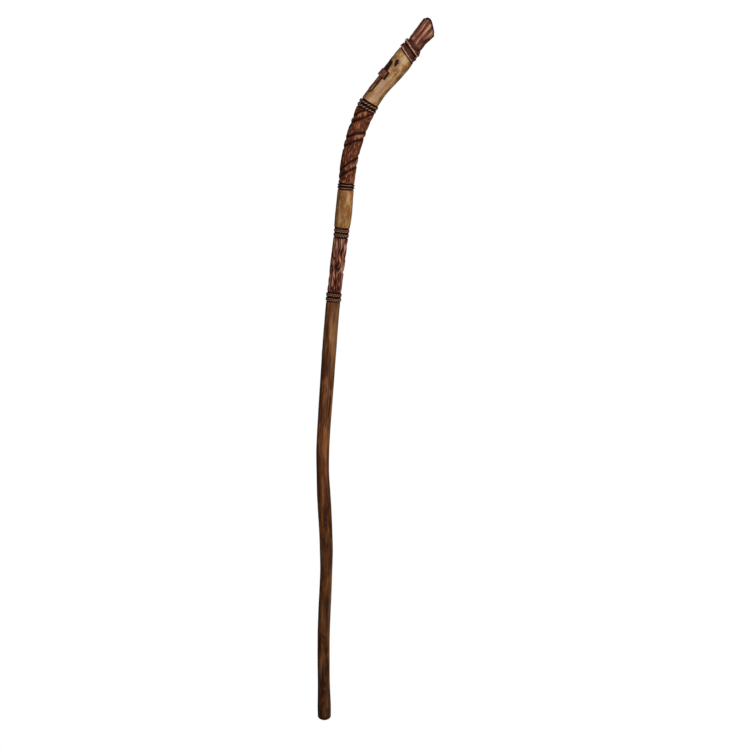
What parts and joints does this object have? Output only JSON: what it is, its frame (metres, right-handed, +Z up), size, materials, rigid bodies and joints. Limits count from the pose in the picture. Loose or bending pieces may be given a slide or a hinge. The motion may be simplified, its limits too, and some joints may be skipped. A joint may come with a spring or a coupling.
{
  "type": "magic wand",
  "caption": "Staff-length wooden wand, gently bent, with a carved figure head, topknot, paired cord rings and a rounded foot.",
  "frame": {"origin": "on the branch's centre line, halfway along the bark-textured hand grip", "axes": "+Z up the staff, foot to head; +X the side that the top bends to; -Y the front, where the figure's left eye shows"},
  "size_m": [0.1512, 0.028, 0.9157],
  "materials": {
    "shaft_wood": "varnished, olive to dark brown with fine grain streaks",
    "dark_stained_wood": "dark red-brown stain under satin varnish",
    "dowel_wood": "bare hardwood",
    "cord": "dark brown twisted and braided cord, stiffened with varnish",
    "eye": "very dark glossy inlay"
  },
  "bodies": {
    "root": {"branch": "shaft_wood", "topknot": "dark_stained_wood", "topknot_dowel": "dowel_wood", "nose": "dark_stained_wood", "chin_strip": "dark_stained_wood", "eye_left": "eye", "eye_right": "eye", "hand_band_lower_cord": "cord", "hand_band_upper_cord": "cord", "grip_band_lower_cord": "cord", "grip_band_upper_cord": "cord", "thin_band_lower_cord": "cord", "thin_band_upper_cord": "cord", "neck_band_lower_cord": "cord", "neck_band_upper_cord": "cord", "head_band_lower_cord": "cord", "head_band_upper_cord": "cord"}
  },
  "joints": []
}
